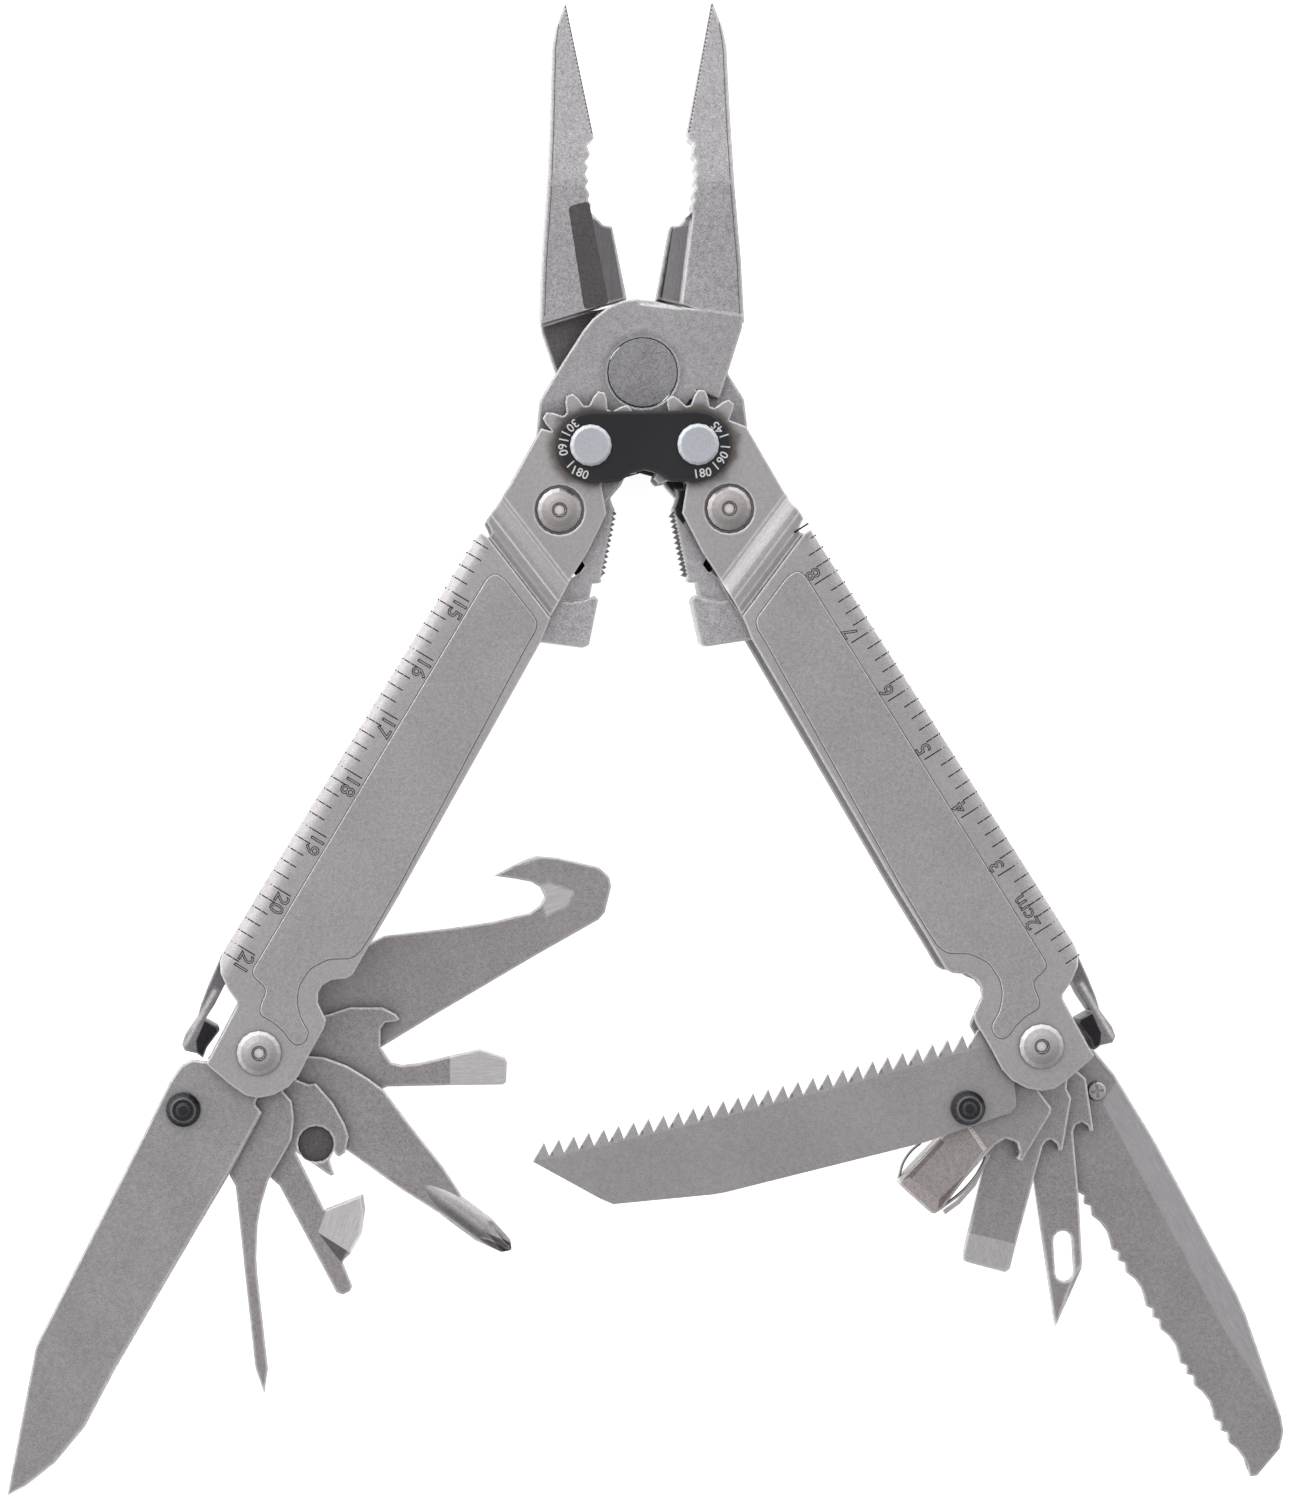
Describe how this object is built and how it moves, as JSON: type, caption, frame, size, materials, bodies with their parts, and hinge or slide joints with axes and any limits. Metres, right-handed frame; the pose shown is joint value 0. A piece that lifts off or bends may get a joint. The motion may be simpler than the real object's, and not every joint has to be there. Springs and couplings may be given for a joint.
{
  "type": "multi tool",
  "caption": "Folding multi tool: geared pliers, wire cutter, blades, saw, drivers, awl, can opener and strap cutter that fold into two steel handles.",
  "frame": {"origin": "centre of the main pivot rivet's rear face", "axes": "+Z out of the front face, through the thickness; +Y from the handles to the jaw tips; +X to the right-hand handle"},
  "size_m": [0.1876, 0.2174, 0.0195],
  "materials": {
    "steel": "blasted stonewashed stainless steel",
    "tool_steel": "darker stonewashed tool steel",
    "bright_steel": "polished stainless steel",
    "black_metal": "satin black"
  },
  "bodies": {
    "link": {"front_link_plate": "black_metal", "rear_link_plate": "black_metal", "pivot_rivet": "steel"},
    "left_hub": {"left_pinion_shaft": "bright_steel", "left_shaft_nut": "bright_steel"},
    "right_hub": {"right_pinion_shaft": "bright_steel", "right_shaft_nut": "bright_steel"},
    "left_jaw": {"left_jaw": "steel"},
    "right_jaw": {"right_jaw": "steel"},
    "left_handle": {"left_front_plate": "steel", "left_rear_plate": "steel", "left_front_neck_screw": "bright_steel", "left_rear_neck_screw": "bright_steel", "left_front_end_screw": "bright_steel", "left_rear_end_screw": "bright_steel", "left_tool_axle": "bright_steel", "left_lock_pin": "bright_steel"},
    "left_lever": {"left_lock_lever": "bright_steel"},
    "right_handle": {"right_front_plate": "steel", "right_rear_plate": "steel", "right_front_neck_screw": "bright_steel", "right_rear_neck_screw": "bright_steel", "right_front_end_screw": "bright_steel", "right_rear_end_screw": "bright_steel", "right_tool_axle": "bright_steel", "right_lock_pin": "bright_steel"},
    "right_lever": {"right_lock_lever": "bright_steel"},
    "main_blade": {"main_blade": "tool_steel", "main_blade_stud": "black_metal", "main_blade_stud_screw": "black_metal"},
    "awl": {"awl": "tool_steel"},
    "can_opener": {"can_opener": "tool_steel"},
    "phillips_driver": {"phillips_driver": "tool_steel"},
    "flat_driver": {"flat_driver": "tool_steel"},
    "strap_cutter": {"strap_cutter": "tool_steel"},
    "saw_blade": {"saw_blade": "tool_steel", "saw_blade_stud": "black_metal", "saw_blade_stud_screw": "black_metal"},
    "bit_driver": {"bit_driver": "tool_steel", "bit_spring_clip": "bright_steel"},
    "large_driver": {"large_driver": "tool_steel"},
    "slotted_knife": {"slotted_knife": "tool_steel"},
    "serrated_blade": {"serrated_blade": "tool_steel", "serrated_blade_stud": "black_metal", "serrated_stud_screw": "bright_steel"}
  },
  "joints": [
    {"name": "jaw_close", "type": "hinge", "parent": "link", "child": "left_jaw", "pos_m": [0, 0, 0.004], "axis": [0, 0, 1], "range_deg": [-10.93, 0]},
    {"name": "right_hub_turn", "type": "hinge", "parent": "link", "child": "right_hub", "pos_m": [0.0078, -0.01069, 0.004], "axis": [0, 0, 1], "range_deg": [-24.7, 0.03]},
    {"name": "left_hub_turn", "type": "hinge", "parent": "link", "child": "left_hub", "pos_m": [-0.0078, -0.01069, 0.004], "axis": [0, 0, 1], "range_deg": [-0.03, 24.7]},
    {"name": "right_jaw_close", "type": "hinge", "parent": "link", "child": "right_jaw", "pos_m": [0, 0, 0.004], "axis": [0, 0, 1], "range_deg": [-0.01, 11]},
    {"name": "left_fold", "type": "hinge", "parent": "link", "child": "left_handle", "pos_m": [-0.0078, -0.01069, 0.004], "axis": [0, 0, 1], "range_deg": [-148, 6.5]},
    {"name": "right_fold", "type": "hinge", "parent": "link", "child": "right_handle", "pos_m": [0.0078, -0.01069, 0.004], "axis": [0, 0, 1], "range_deg": [-6.6, 148.1]},
    {"name": "main_blade_fold", "type": "hinge", "parent": "left_handle", "child": "main_blade", "pos_m": [-0.0568, -0.09857, 0.004], "axis": [0, 0, -1], "range_deg": [-179, 0.5]},
    {"name": "awl_fold", "type": "hinge", "parent": "left_handle", "child": "awl", "pos_m": [-0.0568, -0.09857, 0.004], "axis": [0, 0, -1], "range_deg": [-148.5, 29]},
    {"name": "can_opener_fold", "type": "hinge", "parent": "left_handle", "child": "can_opener", "pos_m": [-0.0568, -0.09857, 0.004], "axis": [0, 0, -1], "range_deg": [-129, 48]},
    {"name": "phillips_driver_fold", "type": "hinge", "parent": "left_handle", "child": "phillips_driver", "pos_m": [-0.0568, -0.09857, 0.004], "axis": [0, 0, -1], "range_deg": [-98.5, 79]},
    {"name": "flat_driver_fold", "type": "hinge", "parent": "left_handle", "child": "flat_driver", "pos_m": [-0.0568, -0.09857, 0.004], "axis": [0, 0, -1], "range_deg": [-67.5, 110]},
    {"name": "strap_cutter_fold", "type": "hinge", "parent": "left_handle", "child": "strap_cutter", "pos_m": [-0.0568, -0.09857, 0.004], "axis": [0, 0, -1], "range_deg": [-35, 142]},
    {"name": "saw_blade_fold", "type": "hinge", "parent": "right_handle", "child": "saw_blade", "pos_m": [0.0568, -0.09857, 0.004], "axis": [0, 0, 1], "range_deg": [-74, 106]},
    {"name": "bit_driver_fold", "type": "hinge", "parent": "right_handle", "child": "bit_driver", "pos_m": [0.0568, -0.09857, 0.004], "axis": [0, 0, 1], "range_deg": [-108, 70]},
    {"name": "large_driver_fold", "type": "hinge", "parent": "right_handle", "child": "large_driver", "pos_m": [0.0568, -0.09857, 0.004], "axis": [0, 0, 1], "range_deg": [-137, 42]},
    {"name": "slotted_knife_fold", "type": "hinge", "parent": "right_handle", "child": "slotted_knife", "pos_m": [0.0568, -0.09857, 0.004], "axis": [0, 0, 1], "range_deg": [-155, 24]},
    {"name": "serrated_blade_fold", "type": "hinge", "parent": "right_handle", "child": "serrated_blade", "pos_m": [0.0568, -0.09857, 0.004], "axis": [0, 0, 1], "range_deg": [-178, 1]},
    {"name": "left_lever_lift", "type": "hinge", "parent": "left_handle", "child": "left_lever", "pos_m": [-0.05861, -0.0809, 0.004], "axis": [0, 0, -1], "range_deg": [0, 6]},
    {"name": "right_lever_lift", "type": "hinge", "parent": "right_handle", "child": "right_lever", "pos_m": [0.05861, -0.0809, 0.004], "axis": [0, 0, 1], "range_deg": [0, 6]}
  ],
  "couplings": [
    {"joint": "right_jaw_close", "follows": "jaw_close", "ratio": -1},
    {"joint": "right_hub_turn", "follows": "jaw_close", "ratio": 2.25},
    {"joint": "left_hub_turn", "follows": "jaw_close", "ratio": -2.25},
    {"joint": "right_fold", "follows": "left_fold", "ratio": -1}
  ]
}
